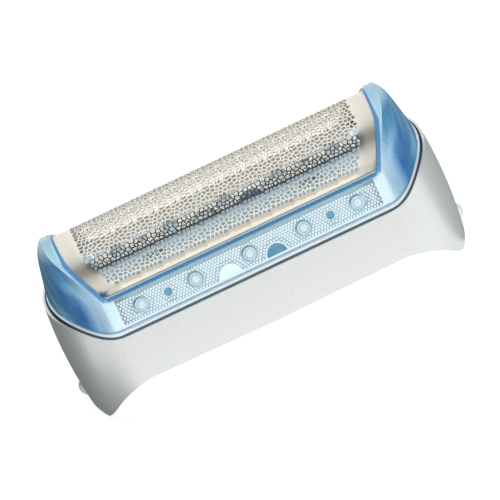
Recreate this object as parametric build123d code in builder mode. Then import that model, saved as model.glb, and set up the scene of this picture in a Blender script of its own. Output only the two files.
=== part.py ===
"""Shaver foil head: a silver shell, a translucent foil carrier, the arched foil and two end studs.

Millimetres. X runs along the head, -Y is the front, Z is up and the shell's feet stand on Z = 0.
The head is the same front and back after half a turn about Z.
"""

import math
import os

from build123d import *

# Outer shell
shell_length = 58.4        # overall length, at the level where the end walls belly out most
belly = 0.6                # how far each end wall draws in again at the foot
belly_z = 9.0              # height of the widest level
foot_depth = 26.6          # front to back, at the feet
rim_depth = 24.1           # front to back, at the long walls' rim
end_round = 8.4            # length of the rounded stretch at each end
shell_wall = 1.3
rim_z = 12.5               # rim of the long walls
end_rise = 3.1             # climb of the rim from the long walls to the end walls
rim_corner_inset = 7.1     # from the end back to where the level rim turns up
rim_slope = 31.0           # climb of the rim beside the end walls, in degrees
lower_edge_z = 5.5         # lower edge of the long walls
lower_edge_bow = 0.3       # how far that edge dips at mid length
lower_corner_inset = 6.2   # from the end back to where the lower edge turns down to the foot
lower_slope = 53.0         # fall of the lower edge beside the feet, in degrees
corner_radius = 8.0        # rounding of the corners in both those lines

# Seat of the carrier in the shell
rim_lip = 0.45             # thin lip left outside the carrier's flange
shelf_drop = 0.8           # depth of the shelf below the rim
seat_gap = 0.05            # clearance where the carrier rests and where the foil is held
side_gap = 0.2             # clearance round the flange and the skirt

# Foil arch and the opening it shows through
foil_radius = 7.2          # outside of the arch
foil_thickness = 0.12
foil_tuck = 0.7            # length of foil hidden under the cheeks at each end
sill_rise = 4.5            # height of the arch's axis, and of the sill under it, above the rim
sill_inset = 8.5           # from the shell's end to the opening, at the sill
crown_inset = 5.65         # from the shell's end to the opening, where its slanting ends turn upright
crown_turn_rise = 5.9      # height of that turn above the sill
opening_flare = 0.15       # lean of the upright stretch above that turn
opening_radius = 3.0       # rounding of that turn
sill_radius = 0.8          # rounding of the opening's corners at the sill

# Foil carrier
crown_lip = 0.6            # how far the cheeks' round crown stands proud of the foil
flange_ledge = 0.53        # level step between the window walls and the flange's outside
flange_rise = 0.45         # how far the flange stands above the shell's rim
cheek_inset = [1.25, 1.16, 1.5, 2.17, 2.7, 4.5]   # from the shell's end to the cheek, seam to crown
cheek_swell = [0.08, 0.1, 0.46, 1.75, 2.1, 2.4]   # how far the cheek form stands outside the walls' line
cheek_mid_rise = 1.5       # height of the third of these six levels above the sill
cheek_shoulder = 1.8       # height of the uppermost stretch, which rounds over to the crown
cheek_round_low = 8.7      # length of the cheek form's rounded end, at the seam
cheek_round_top = 11.7     # the same at the crown, measured from the shell's end
cheek_wall = 1.4           # wall round the hollow under each cheek
cheek_hollow_rise = 5.0    # top of that hollow above the sill
end_wall = 1.2             # wall between the cutter space and that hollow
edge_step_width = 0.55     # narrow step round the opening's slanting ends
edge_step_depth = 0.2
skirt_wall = 0.8
skirt_depth = 4.0          # reach of the skirt below the rim, inside the shell
cavity_drop = 0.3          # where the skirt's inside meets the window walls, below the rim

# Window panel, pins, locators and key on each window wall
panel_margin = 0.5         # from the opening's end to the panel's end
panel_height = 3.75
panel_end_lean = 4.0       # lean of the panel's ends towards its lower edge, in degrees
panel_recess = 0.5
panel_top_margin = 0.25    # narrow bar left between the sill and the panel
panel_corner = 0.9         # rounding of the panel's lower corners
pin_drop = 3.0             # distance of the pins below the sill, down the wall
pin_count = 5
pin_end_margin = 3.68      # from the panel's end to the outermost pin
pin_diameter = 1.5
pin_head_diameter = 2.4
pin_head_height = 0.45
pin_head_taper = 30.0
pin_mark_height = 0.16     # low dome left over each pin on the panel's face
pin_mark_taper = 40.0
locator_diameter = 1.2
locator_height = 0.4
key_x = 3.55
key_diameter = 3.0
key_height = 0.3

# Foil flanks and piercings
flank_margin = 0.4         # from the panel's end to the flank's end
flank_drop = 4.7           # height of the flanks, down the wall
pin_hole_gap = 0.2         # clearance round the pins
end_hole_play = 0.6        # extra length of the outermost holes, which are slots
locator_hole_gap = 0.12
notch_gap = 0.2            # clearance of the half-round notches round the key
gap_pitch = 3.1            # spacing of the six-sided gaps on the arch
gap_bar = 0.5              # width of metal between two gaps
gap_rows = 8
plain_margin = 2.4         # unpierced foil beside the opening's ends

# End studs
stud_z = 1.6
stud_head_diameter = 2.3
stud_proud = 0.62          # how far the rounded head stands out of the end wall
stud_stem_diameter = 1.4
stud_seat = 0.2            # depth of the flat seat cut for the head
stud_collar_diameter = 2.2
stud_collar_height = 0.4
stud_gap = 0.05

# Catches that hold the carrier in the shell
catch_x = 12.0
catch_width = 3.2
catch_drop = 2.1           # flat upper face of the catch, below the rim
catch_height = 1.1
catch_bite = 0.45          # reach into the pocket in the shell's wall
catch_gap = 0.15

# Sizes that follow from the ones above
half_length = shell_length / 2
straight_half = half_length - end_round
end_top = rim_z + end_rise
arch_z = rim_z + sill_rise
cavity_z = rim_z - cavity_drop
catch_z = rim_z - catch_drop
crown_turn_z = arch_z + crown_turn_rise
crown_radius = foil_radius + crown_lip
tuck_radius = foil_radius + seat_gap
sill_half = half_length - sill_inset
crown_half = half_length - crown_inset
flange_inset = rim_lip + side_gap
skirt_inset = shell_wall + side_gap
smooth_bands = 4           # levels that guide the shell's lofts
ruled_bands = 6
past = shell_length        # long enough to run through the whole head
flanks = [-1, 1]           # front and back

# The window walls run from the flange's ledge up to touch the round crown, which sets their lean
wall_foot_y = rim_depth / 2 - flange_inset - flange_ledge
foot_distance = math.hypot(wall_foot_y, sill_rise)
slope = math.acos(crown_radius / foot_distance) - math.atan2(sill_rise, wall_foot_y)
window_wall = crown_radius - tuck_radius * math.cos(slope)


def end_reach(z):
    """Half length of the shell's outside at a height: the end walls are gently bellied."""
    return half_length - belly * ((z - belly_z) / belly_z) ** 2


def half_depth(z):
    """Half depth of the shell's outside at a height: the long walls lean in towards the rim."""
    return (foot_depth - (foot_depth - rim_depth) * z / rim_z) / 2


def wall_line(z):
    """Half depth of the window walls' outside at a height, carried on above the crown."""
    return wall_foot_y - (z - rim_z) * math.tan(slope)


def opening_half(z):
    """Half length of the foil's opening at a height above the sill."""
    slant = sill_half + (crown_half - sill_half) * (z - arch_z) / crown_turn_rise
    return min(slant, crown_half + opening_flare * (z - crown_turn_z))


def plan_outline(z, reach, depth, straight):
    """Level outline with straight long sides and half-elliptical ends."""
    with BuildSketch(Plane.XY.offset(z)) as outline:
        with BuildLine():
            Line((-straight, -depth), (straight, -depth))
            EllipticalCenterArc((straight, 0), reach - straight, depth, -90, arc_size=180)
            Line((straight, depth), (-straight, depth))
            EllipticalCenterArc((-straight, 0), reach - straight, depth, 90, arc_size=180)
        make_face()
    return outline.sketch


def shell_form(inset, low, high, ruled=False):
    """Solid with the shell's outside drawn in by an inset, between two heights.

    Faces that show are lofted smoothly; the hidden inner ones are ruled in narrow bands.
    """
    bands = ruled_bands if ruled else smooth_bands
    levels = [low + (high - low) * step / bands for step in range(bands + 1)]
    with BuildPart() as form:
        loft(
            sections=[
                plan_outline(z, end_reach(z) - inset, half_depth(z) - inset, straight_half)
                for z in levels
            ],
            ruled=ruled,
        )
    return form.part


def cheek_form(inset):
    """Solid that bounds the carrier in plan: full at the seam, narrower and shorter at the crown."""
    low = rim_z - 2 * shelf_drop
    mid = arch_z + cheek_mid_rise
    top = arch_z + crown_radius + crown_lip
    levels = [low, (low + mid) / 2, mid, (mid + top) / 2, top - cheek_shoulder, top]
    sections = []
    for z, end, swell in zip(levels, cheek_inset, cheek_swell):
        length = cheek_round_low + (cheek_round_top - cheek_round_low) * (z - low) / (top - low)
        reach = half_length - end - inset
        sections.append(plan_outline(z, reach, wall_line(z) + swell - inset, half_length - length))
    with BuildPart() as form:
        loft(sections=sections)
    return form.part


def rim_line(lift):
    """Face above the rim line, raised by a lift, seen from the front."""
    corner_x = half_length - rim_corner_inset
    climb_x = corner_x + end_rise / math.tan(math.radians(rim_slope))
    low_z = rim_z + lift
    high_z = end_top + lift
    with BuildSketch(Plane.XZ) as region:
        with BuildLine():
            FilletPolyline(
                (-past, high_z),
                (-climb_x, high_z),
                (-corner_x, low_z),
                (corner_x, low_z),
                (climb_x, high_z),
                (past, high_z),
                radius=corner_radius,
            )
            Polyline((past, high_z), (past, past), (-past, past), (-past, high_z))
        make_face()
    return region.sketch


def above_rim(inset, lift):
    """What lies above the raised rim line, within the shell's outside drawn in by an inset."""
    with BuildPart() as form:
        add(shell_form(inset, lower_edge_z, end_top + shelf_drop))
        extrude(rim_line(lift), amount=past, both=True, mode=Mode.INTERSECT)
    return form.part


def foil_opening(grow, drop):
    """Face of the carrier's opening from the front, longer at each end and carried on below the sill."""
    top_z = arch_z + 2 * crown_radius
    ends = [(sill_half, arch_z), (crown_half, crown_turn_z), (opening_half(top_z), top_z)]
    with BuildSketch(Plane.XZ) as region:
        with BuildLine():
            right = FilletPolyline(*[(x + grow, z) for x, z in ends], radius=opening_radius)
            left = FilletPolyline(*[(-x - grow, z) for x, z in ends], radius=opening_radius)
            Line(left @ 0, right @ 0)
            Line(left @ 1, right @ 1)
        make_face()
        if drop > 0:
            with Locations((0, arch_z)):
                Rectangle(2 * (sill_half + grow), drop, align=(Align.CENTER, Align.MAX))
        else:
            fillet(region.vertices().group_by(Axis.Y)[0], radius=sill_radius + grow)
    return region.sketch


def crown_profile(radius):
    """Cross-section of the carrier: a round crown that runs straight on into two sloping walls."""
    turn_y = radius * math.cos(slope)
    turn_z = arch_z + radius * math.sin(slope)
    foot_y = turn_y + turn_z * math.tan(slope)
    with BuildSketch(Plane.YZ) as profile:
        with BuildLine():
            Polyline((turn_y, turn_z), (foot_y, 0), (-foot_y, 0), (-turn_y, turn_z))
            ThreePointArc((-turn_y, turn_z), (0, arch_z + radius), (turn_y, turn_z))
        make_face()
    return profile.sketch


def flange_form():
    """Flange that follows the rim: it rests on the shelf and stands a little above the lip."""
    with BuildPart() as form:
        add(above_rim(flange_inset, seat_gap - shelf_drop))
        extrude(rim_line(flange_rise), amount=past, both=True, mode=Mode.SUBTRACT)
    return form.part


def skirt_form():
    """Block that fits inside the shell's walls, from below the rim down to the skirt's lower edge."""
    with BuildPart() as form:
        add(shell_form(skirt_inset, rim_z - skirt_depth, end_top + shelf_drop, ruled=True))
        extrude(rim_line(0), amount=past, both=True, mode=Mode.SUBTRACT)
    return form.part


def cheek_hollow():
    """Hollow under each cheek, inside an even wall and no wider than the skirt below it."""
    hollow_top = arch_z + cheek_hollow_rise
    with BuildPart() as form:
        add(cheek_form(cheek_wall))
        extrude(crown_profile(crown_radius - cheek_wall), amount=past, both=True, mode=Mode.INTERSECT)
        within = shell_form(skirt_inset + skirt_wall, rim_z - skirt_depth, hollow_top, ruled=True)
        add(within, mode=Mode.INTERSECT)
        space = foil_opening(foil_tuck + seat_gap + end_wall, past)
        extrude(space, amount=past, both=True, mode=Mode.SUBTRACT)
    return form.part


def cutter_space():
    """Room for the cutter: half a cylinder over the sill and sloping walls below it."""
    foot_y = tuck_radius + (arch_z - cavity_z) * math.tan(slope)
    with BuildPart() as form:
        with BuildSketch(Plane.YZ):
            with BuildLine():
                Polyline(
                    (tuck_radius, arch_z),
                    (foot_y, cavity_z),
                    (-foot_y, cavity_z),
                    (-tuck_radius, arch_z),
                )
                ThreePointArc((-tuck_radius, arch_z), (0, arch_z + tuck_radius), (tuck_radius, arch_z))
            make_face()
        extrude(amount=past, both=True)
        extrude(foil_opening(foil_tuck + seat_gap, past), amount=past, both=True, mode=Mode.INTERSECT)
    return form.part


def edge_step():
    """Shallow step along the opening's slanting ends, cut into the outside of the cheeks."""
    with BuildPart() as form:
        extrude(foil_opening(edge_step_width, 0), amount=past, both=True)
        inside = crown_profile(crown_radius - edge_step_depth)
        extrude(inside, amount=past, both=True, mode=Mode.SUBTRACT)
    return form.part


def flank_plane(side, out):
    """Plane on a window wall with its origin at the sill: X along the head, Y up the wall, Z outwards.

    side is -1 at the front and 1 at the back; out is measured from the wall's inner face.
    """
    normal = Vector(0, side * math.cos(slope), math.sin(slope))
    origin = Vector(0, side * tuck_radius, arch_z) + normal * out
    return Plane(origin=origin, x_dir=(-side, 0, 0), z_dir=normal)


def flank_planes(out):
    """The same plane on the front and on the back window wall."""
    return [flank_plane(side, out) for side in flanks]


def end_plane(side, x):
    """Plane across the head at one end, looking outwards, with its origin on the stud's axis."""
    return Plane(origin=(side * x, 0, stud_z), x_dir=(0, side, 0), z_dir=(side, 0, 0))


panel_half = sill_half - panel_margin
pin_pitch = 2 * (panel_half - pin_end_margin) / (pin_count - 1)
pin_places = [(pin_pitch * step - panel_half + pin_end_margin, -pin_drop) for step in range(pin_count)]
locator_places = [(-1.5 * pin_pitch, -pin_drop), (1.5 * pin_pitch, -pin_drop)]
catch_wall_y = half_depth(catch_z) - shell_wall
stud_face_x = end_reach(stud_z) - stud_seat

# Outer shell
with BuildPart() as outer_shell:
    add(shell_form(0, 0, end_top + shelf_drop))
    add(shell_form(shell_wall, -shell_wall, end_top + shell_wall, ruled=True), mode=Mode.SUBTRACT)
    extrude(rim_line(0), amount=past, both=True, mode=Mode.SUBTRACT)

    # Cut-out below the long walls, which leaves the two feet
    lower_corner_x = half_length - lower_corner_inset
    fall_x = lower_corner_x + 2 * lower_edge_z / math.tan(math.radians(lower_slope))
    with BuildSketch(Plane.XZ):
        with BuildLine():
            FilletPolyline(
                (-fall_x, -lower_edge_z),
                (-lower_corner_x, lower_edge_z),
                (0, lower_edge_z - lower_edge_bow),
                (lower_corner_x, lower_edge_z),
                (fall_x, -lower_edge_z),
                radius=corner_radius,
            )
            Line((fall_x, -lower_edge_z), (-fall_x, -lower_edge_z))
        make_face()
    extrude(amount=past, both=True, mode=Mode.SUBTRACT)

    # Shelf inside the rim for the carrier's flange
    add(above_rim(rim_lip, -shelf_drop), mode=Mode.SUBTRACT)

    # Pockets for the carrier's catches
    pocket_deep = catch_bite + catch_gap
    pocket_places = [
        (x, side * (catch_wall_y + pocket_deep), catch_z + catch_gap)
        for x in (-catch_x, catch_x)
        for side in flanks
    ]
    with Locations(*pocket_places):
        Box(
            catch_width + 2 * catch_gap,
            2 * pocket_deep,
            catch_height + 2 * catch_gap,
            align=(Align.CENTER, Align.CENTER, Align.MAX),
            mode=Mode.SUBTRACT,
        )

    # Holes and flat seats for the studs
    for side in flanks:
        with BuildSketch(end_plane(side, 0)):
            Circle(stud_stem_diameter / 2 + stud_gap)
        extrude(amount=past, mode=Mode.SUBTRACT)
        with BuildSketch(end_plane(side, stud_face_x)):
            Circle(stud_head_diameter / 2 + stud_gap)
        extrude(amount=shell_wall, mode=Mode.SUBTRACT)

outer_shell.part.label = "outer_shell"

# Foil carrier
with BuildPart() as foil_carrier:
    add(cheek_form(0))
    extrude(crown_profile(crown_radius), amount=past, both=True, mode=Mode.INTERSECT)
    extrude(rim_line(seat_gap - shelf_drop), amount=past, both=True, mode=Mode.INTERSECT)
    add(flange_form())
    add(skirt_form())

    # Room inside: the skirt, the cheeks, the cutter and the opening for the foil
    skirt_room = shell_form(skirt_inset + skirt_wall, rim_z - 2 * skirt_depth, cavity_z, ruled=True)
    add(skirt_room, mode=Mode.SUBTRACT)
    add(cheek_hollow(), mode=Mode.SUBTRACT)
    add(cutter_space(), mode=Mode.SUBTRACT)
    extrude(foil_opening(0, 0), amount=past, both=True, mode=Mode.SUBTRACT)
    add(edge_step(), mode=Mode.SUBTRACT)

    # Recessed window panels
    panel_top = -window_wall * math.tan(slope) - panel_top_margin
    panel_low = panel_top - panel_height
    panel_low_half = panel_half - panel_height * math.tan(math.radians(panel_end_lean))
    for plane in flank_planes(window_wall):
        with BuildSketch(plane):
            with BuildLine():
                FilletPolyline(
                    (-panel_half, panel_top),
                    (-panel_low_half, panel_low),
                    (panel_low_half, panel_low),
                    (panel_half, panel_top),
                    radius=panel_corner,
                )
                Line((panel_half, panel_top), (-panel_half, panel_top))
            make_face()
        extrude(amount=-panel_recess, mode=Mode.SUBTRACT)

    # Low domes on the panels and, behind them, the pins with their spread heads
    with BuildSketch(*flank_planes(window_wall - panel_recess)):
        with Locations(*pin_places):
            Circle(pin_diameter / 2)
    extrude(amount=pin_mark_height, taper=pin_mark_taper)
    head_seat = 2 * seat_gap + foil_thickness
    with BuildSketch(*flank_planes(0)):
        with Locations(*pin_places):
            Circle(pin_diameter / 2)
    extrude(amount=-head_seat)
    with BuildSketch(*flank_planes(-head_seat)):
        with Locations(*pin_places):
            Circle(pin_head_diameter / 2)
    extrude(amount=-pin_head_height, taper=pin_head_taper)

    # Locators, and the key that fills one of the foil's notches
    with BuildSketch(*flank_planes(0)):
        with Locations(*locator_places):
            Circle(locator_diameter / 2)
    extrude(amount=-locator_height)
    with BuildSketch(*flank_planes(0)):
        with Locations((key_x, -flank_drop)):
            Circle(key_diameter / 2)
    extrude(amount=-key_height)

    # Catches on the skirt, sloped below so that they spring past the shell's rim
    catch_root_y = half_depth(catch_z) - skirt_inset - skirt_wall / 2
    catch_skirt_y = half_depth(catch_z) - skirt_inset
    for side in flanks:
        catch_shape = [
            (side * catch_root_y, catch_z),
            (side * (catch_wall_y + catch_bite), catch_z),
            (side * catch_skirt_y, catch_z - catch_height),
            (side * catch_root_y, catch_z - catch_height),
        ]
        for x in (-catch_x, catch_x):
            with BuildSketch(Plane.YZ.offset(x)):
                with BuildLine():
                    Polyline(*catch_shape, close=True)
                make_face()
            extrude(amount=catch_width / 2, both=True)

foil_carrier.part.label = "foil_carrier"

# Shaving foil
flank_low_z = arch_z - flank_drop * math.cos(slope)
flank_low_y = foil_radius + flank_drop * math.sin(slope)
inner_radius = foil_radius - foil_thickness
inner_turn_z = arch_z - foil_thickness * math.tan(slope / 2)
inner_low_z = flank_low_z - foil_thickness * math.sin(slope)
inner_low_y = flank_low_y - foil_thickness * math.cos(slope)

gap_planes = []
for row in range(gap_rows):
    angle = (row - (gap_rows - 1) / 2) * gap_pitch * math.sin(math.radians(60)) / foil_radius
    outward = Vector(0, math.sin(angle), math.cos(angle))
    row_z = arch_z + foil_radius * math.cos(angle)
    room = opening_half(row_z) - plain_margin - gap_pitch / 2
    first = gap_pitch / 2 * (row % 2)
    reach = int((room - first) // gap_pitch)
    columns = [first + gap_pitch * step for step in range(-reach - row % 2, reach + 1)]
    for x in columns:
        origin = Vector(x, 0, arch_z) + outward * foil_radius
        gap_planes.append(Plane(origin=origin, x_dir=(1, 0, 0), z_dir=outward))

with BuildPart() as shaving_foil:
    with BuildSketch(Plane.YZ):
        with BuildLine():
            Line((flank_low_y, flank_low_z), (foil_radius, arch_z))
            ThreePointArc((foil_radius, arch_z), (0, arch_z + foil_radius), (-foil_radius, arch_z))
            Polyline(
                (-foil_radius, arch_z),
                (-flank_low_y, flank_low_z),
                (-inner_low_y, inner_low_z),
                (-inner_radius, inner_turn_z),
                (-inner_radius, arch_z),
            )
            ThreePointArc((-inner_radius, arch_z), (0, arch_z + inner_radius), (inner_radius, arch_z))
            Polyline(
                (inner_radius, arch_z),
                (inner_radius, inner_turn_z),
                (inner_low_y, inner_low_z),
                (flank_low_y, flank_low_z),
            )
        make_face()
    extrude(amount=past, both=True)

    # Ends that follow the carrier's opening, with shorter flanks behind the windows
    with BuildSketch(Plane.XZ):
        add(foil_opening(foil_tuck, 0))
        with Locations((0, arch_z + foil_tuck)):
            Rectangle(2 * (panel_half - flank_margin), past, align=(Align.CENTER, Align.MAX))
    extrude(amount=past, both=True, mode=Mode.INTERSECT)

    # Holes for the pins and locators, and the half-round notches in the lower edges
    pin_hole_diameter = pin_diameter + 2 * pin_hole_gap
    with BuildSketch(*flank_planes(0)):
        with Locations(*pin_places[1:-1]):
            Circle(pin_hole_diameter / 2)
        with Locations(pin_places[0], pin_places[-1]):
            SlotOverall(pin_hole_diameter + end_hole_play, pin_hole_diameter)
        with Locations(*locator_places):
            Circle(locator_diameter / 2 + locator_hole_gap)
        with Locations((-key_x, -flank_drop), (key_x, -flank_drop)):
            Circle(key_diameter / 2 + notch_gap)
    extrude(amount=pin_drop / 2, both=True, mode=Mode.SUBTRACT)

    # Six-sided gaps over the arch
    with BuildSketch(*gap_planes):
        RegularPolygon((gap_pitch - gap_bar) / 2, 6, major_radius=False, rotation=30)
    extrude(amount=3 * foil_thickness, both=True, mode=Mode.SUBTRACT)

shaving_foil.part.label = "shaving_foil"


def end_stud(side):
    """Stud turned about the X axis: rounded head outside, stem in the wall, collar inside."""
    head_x = end_reach(stud_z)
    stem_radius = stud_stem_diameter / 2
    collar_radius = stud_collar_diameter / 2
    collar_x = end_reach(stud_z - collar_radius) - shell_wall - stud_gap
    head_radius = stud_head_diameter / 2
    dome_radius = (head_radius**2 + stud_proud**2) / (2 * stud_proud)
    dome_angle = math.degrees(math.asin(head_radius / dome_radius))
    turning_plane = Plane(origin=(0, 0, stud_z), x_dir=(side, 0, 0), z_dir=(0, -side, 0))
    with BuildPart() as stud:
        with BuildSketch(turning_plane):
            with BuildLine():
                Polyline(
                    (head_x + stud_proud, 0),
                    (collar_x - stud_collar_height, 0),
                    (collar_x - stud_collar_height, collar_radius),
                    (collar_x, collar_radius),
                    (collar_x, stem_radius),
                    (stud_face_x, stem_radius),
                    (stud_face_x, head_radius),
                    (head_x, head_radius),
                )
                CenterArc((head_x + stud_proud - dome_radius, 0), dome_radius, 0, dome_angle)
            make_face()
        revolve(axis=Axis((0, 0, stud_z), (1, 0, 0)))
    return stud


left_stud = end_stud(-1)
left_stud.part.label = "left_stud"
right_stud = end_stud(1)
right_stud.part.label = "right_stud"

os.makedirs("parts", exist_ok=True)
export_step(outer_shell.part, "parts/outer_shell.step")
export_step(foil_carrier.part, "parts/foil_carrier.step")
export_step(shaving_foil.part, "parts/shaving_foil.step")
export_step(left_stud.part, "parts/left_stud.step")
export_step(right_stud.part, "parts/right_stud.step")
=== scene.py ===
# %% [markdown]
# # A shaver foil head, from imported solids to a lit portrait
#
# The head has a silver shell, a translucent blue carrier, an arched metal foil and two small studs. The
# solids come in at their real size and place, so this lesson only dresses them: it draws the fine foil and
# the small ends of the pins, gives each surface its finish, and sets up a floor, lamps, cards and a camera.

# %% Load the solids
import math
import random

import bmesh
import bpy
from mathutils import Matrix, Vector
from mathutils.geometry import delaunay_2d_cdt


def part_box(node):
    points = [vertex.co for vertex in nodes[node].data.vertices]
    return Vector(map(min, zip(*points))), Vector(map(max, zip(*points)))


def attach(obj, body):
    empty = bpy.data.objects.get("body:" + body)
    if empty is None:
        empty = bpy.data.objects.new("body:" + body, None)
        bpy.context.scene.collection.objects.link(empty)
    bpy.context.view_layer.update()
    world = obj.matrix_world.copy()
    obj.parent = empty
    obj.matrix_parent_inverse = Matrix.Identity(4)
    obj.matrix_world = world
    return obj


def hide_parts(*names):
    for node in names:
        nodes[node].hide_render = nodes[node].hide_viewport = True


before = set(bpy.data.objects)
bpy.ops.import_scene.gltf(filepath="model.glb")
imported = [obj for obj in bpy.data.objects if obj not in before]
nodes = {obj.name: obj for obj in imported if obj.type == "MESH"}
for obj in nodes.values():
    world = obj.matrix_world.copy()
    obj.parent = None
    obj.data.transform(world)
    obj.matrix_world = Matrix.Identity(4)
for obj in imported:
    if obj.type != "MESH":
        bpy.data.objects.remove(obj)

MM = 0.001
scene = bpy.context.scene
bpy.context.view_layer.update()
print("solids:", sorted(nodes))

# %% [markdown]
# ## The sheet behind the arch
#
# The real foil is one sheet of nickel, grown in a bath, then bent over an arch and held by its two flanks.
# It is easiest to draw flat and to bend last. A point of the flat sheet has u along the head and s round
# the arch, counted from the crown, and one function bends it: a half circle in the middle, a straight slope
# on each side. The arch's radius and the sheet's thickness are numbers that the box can't tell; the rest is
# read from the solid's corners.

# %% Bend a flat sheet over the arch
FOIL_RADIUS = 7.2
FOIL_THICKNESS = 0.11
foil_low, foil_high = (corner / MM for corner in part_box("shaving_foil"))
arch_z = foil_high.z - FOIL_RADIUS
arch_half = FOIL_RADIUS * math.pi / 2
flank_slope = math.atan2(foil_high.y - FOIL_RADIUS, arch_z - foil_low.z)
flank_drop = (arch_z - foil_low.z) / math.cos(flank_slope)
sheet_half = arch_half + flank_drop


def bend(u, s, depth):
    """Place on the bent sheet, in millimetres; depth is measured inwards from the outer face."""
    side = 1 if s >= 0 else -1
    if abs(s) <= arch_half:
        angle = s / FOIL_RADIUS
        radius = FOIL_RADIUS - depth
        return Vector((u, radius * math.sin(angle), arch_z + radius * math.cos(angle)))
    down = abs(s) - arch_half
    y = FOIL_RADIUS + down * math.sin(flank_slope) - depth * math.cos(flank_slope)
    z = arch_z - down * math.cos(flank_slope) - depth * math.sin(flank_slope)
    return Vector((u, side * y, z))


print("flank slope", round(math.degrees(flank_slope), 1), "drop", round(flank_drop, 2))

# %% [markdown]
# ## Where the sheet ends and where it is open
#
# The sheet's ends follow the carrier's opening, which slants outwards and then turns upright near the
# crown. In each flank there are round holes for the pins, slots for the outermost pins, two small holes for
# locators and two half-round notches in the lower edge. They could be cut with booleans, which are slow on
# a fine net. Here all of them are distances, because a distance both says whether a cell is inside a hole
# and how far a corner has to move to lie on its edge.

# %% Outline and holes of the flat sheet
SILL_HALF = 20.7
CROWN_HALF = 23.55
CROWN_TURN_RISE = 5.9
END_TUCK = 0.7
PLAIN_END = 2.4
PIN_PITCH = 8.26
PIN_COUNT = 5
PIN_DROP = 3.0
PIN_HOLE_RADIUS = 0.95
END_SLOT_PLAY = 0.3
LOCATOR_HOLE_RADIUS = 0.72
NOTCH_X = 3.55
NOTCH_RADIUS = 1.7
FLANK_HALF = 19.8
TINY = 1e-6
pin_places = [(column - PIN_COUNT // 2) * PIN_PITCH for column in range(PIN_COUNT)]
locator_places = (-1.5 * PIN_PITCH, 1.5 * PIN_PITCH)


def opening_half(s):
    """Half length of the carrier's opening where the sheet lies at s."""
    rise = FOIL_RADIUS * math.cos(min(abs(s), arch_half) / FOIL_RADIUS)
    return SILL_HALF + (CROWN_HALF - SILL_HALF) * min(rise / CROWN_TURN_RISE, 1)


def end_half(s):
    """Half length of the sheet at s: tucked under the cheeks on the arch, shorter on the flanks."""
    if abs(s) > arch_half + END_TUCK:
        return FLANK_HALF
    return opening_half(s) + END_TUCK


holes = []
for side in (-1, 1):
    pin_s = side * (arch_half + PIN_DROP)
    for place in pin_places:
        play = END_SLOT_PLAY if abs(place) > 1.5 * PIN_PITCH else 0
        holes.append((place, pin_s, PIN_HOLE_RADIUS, play))
    for place in locator_places:
        holes.append((place, pin_s, LOCATOR_HOLE_RADIUS, 0))
    for place in (-NOTCH_X, NOTCH_X):
        holes.append((place, side * sheet_half, NOTCH_RADIUS, 0))


def pull_to_edge(u, s, hole):
    """Distance inside a hole's edge, and the nearest place on that edge."""
    hole_u, hole_s, radius, play = hole
    core_u = min(max(u, hole_u - play), hole_u + play)
    away = math.hypot(u - core_u, s - hole_s) or TINY
    reach = radius / away
    return radius - away, (core_u + (u - core_u) * reach, hole_s + (s - hole_s) * reach)


print("holes in the flanks:", len(holes))

# %% [markdown]
# ## Seeds for the piercing
#
# The arch is pierced by cells of uneven shape, so that hairs find an edge from every side. Such a net is a
# Voronoi diagram: scatter seeds, and let each own the ground nearest to it. A tile of random offsets that
# repeats every five cells keeps the rhythm of the real foil. The flanks have a plain close lattice of round
# holes. Rows of plain cells lie between the two, so that one net covers the whole sheet. The plain rows
# above and below each bend mirror each other, and so their cells meet right at the bend.

# %% Scatter the seeds
CELL_PITCH = 0.667
CELL_ROW = 0.585
CELL_JITTER = 0.25
TILE_COLUMNS = 5
TILE_ROWS = 4
TILE_SEED = 11
PIERCED_S = 10.0
DOT_PITCH = 0.45
DOT_ROW = 0.363
DOT_ROWS = 9
FIRST_DOT_DROP = 1.62
PLAIN_ROWS_ABOVE = 1
PLAIN_ROWS_BELOW = 3
ROW_OVERHANG = 3

rng = random.Random(TILE_SEED)
tile = [
    [(rng.uniform(-1, 1) * CELL_JITTER, rng.uniform(-1, 1) * CELL_JITTER) for _ in range(TILE_COLUMNS)]
    for _ in range(TILE_ROWS)
]
seeds = []
kinds = []


def sow_row(s, pitch, shift, kind, offsets=None):
    """One row of seeds along the head, a little longer than the sheet."""
    count = int((CROWN_HALF + ROW_OVERHANG) / pitch)
    for column in range(-count, count + 1):
        du, ds = offsets[column % len(offsets)] if offsets else (0, 0)
        seeds.append(((column + shift) * pitch + du, s + ds))
        kinds.append(kind)


cell_rows = int(PIERCED_S / CELL_ROW)
for row in range(-cell_rows - 1, cell_rows + 2):
    shift = 0.5 * (row % 2)
    if abs(row) <= cell_rows:
        sow_row(row * CELL_ROW, CELL_PITCH, shift, "cell", tile[row % TILE_ROWS])
    else:
        sow_row(row * CELL_ROW, CELL_PITCH, shift, "plain")
        sow_row(math.copysign(2 * arch_half, row) - row * CELL_ROW, CELL_PITCH, shift + 0.5, "plain")
for side in (-1, 1):
    for row in range(-PLAIN_ROWS_ABOVE, DOT_ROWS + PLAIN_ROWS_BELOW):
        kind = "dot" if 0 <= row < DOT_ROWS else "plain"
        sow_row(side * (arch_half + FIRST_DOT_DROP + row * DOT_ROW), DOT_PITCH, 0.5 * (row % 2), kind)
print("seeds:", len(seeds))

# %% [markdown]
# ## From seeds to cells
#
# Blender's own Delaunay routine joins the seeds into triangles. The centre of the circle through each
# triangle is a corner of the Voronoi net, and the corners round a seed, sorted by angle, are its cell. This
# takes a few lines, and it leaves every corner free to move in the next step.

# %% Draw the cells
MERGE_DISTANCE = 1e-7
triangles = delaunay_2d_cdt([Vector(seed) for seed in seeds], [], [], 0, MERGE_DISTANCE)[2]


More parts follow.
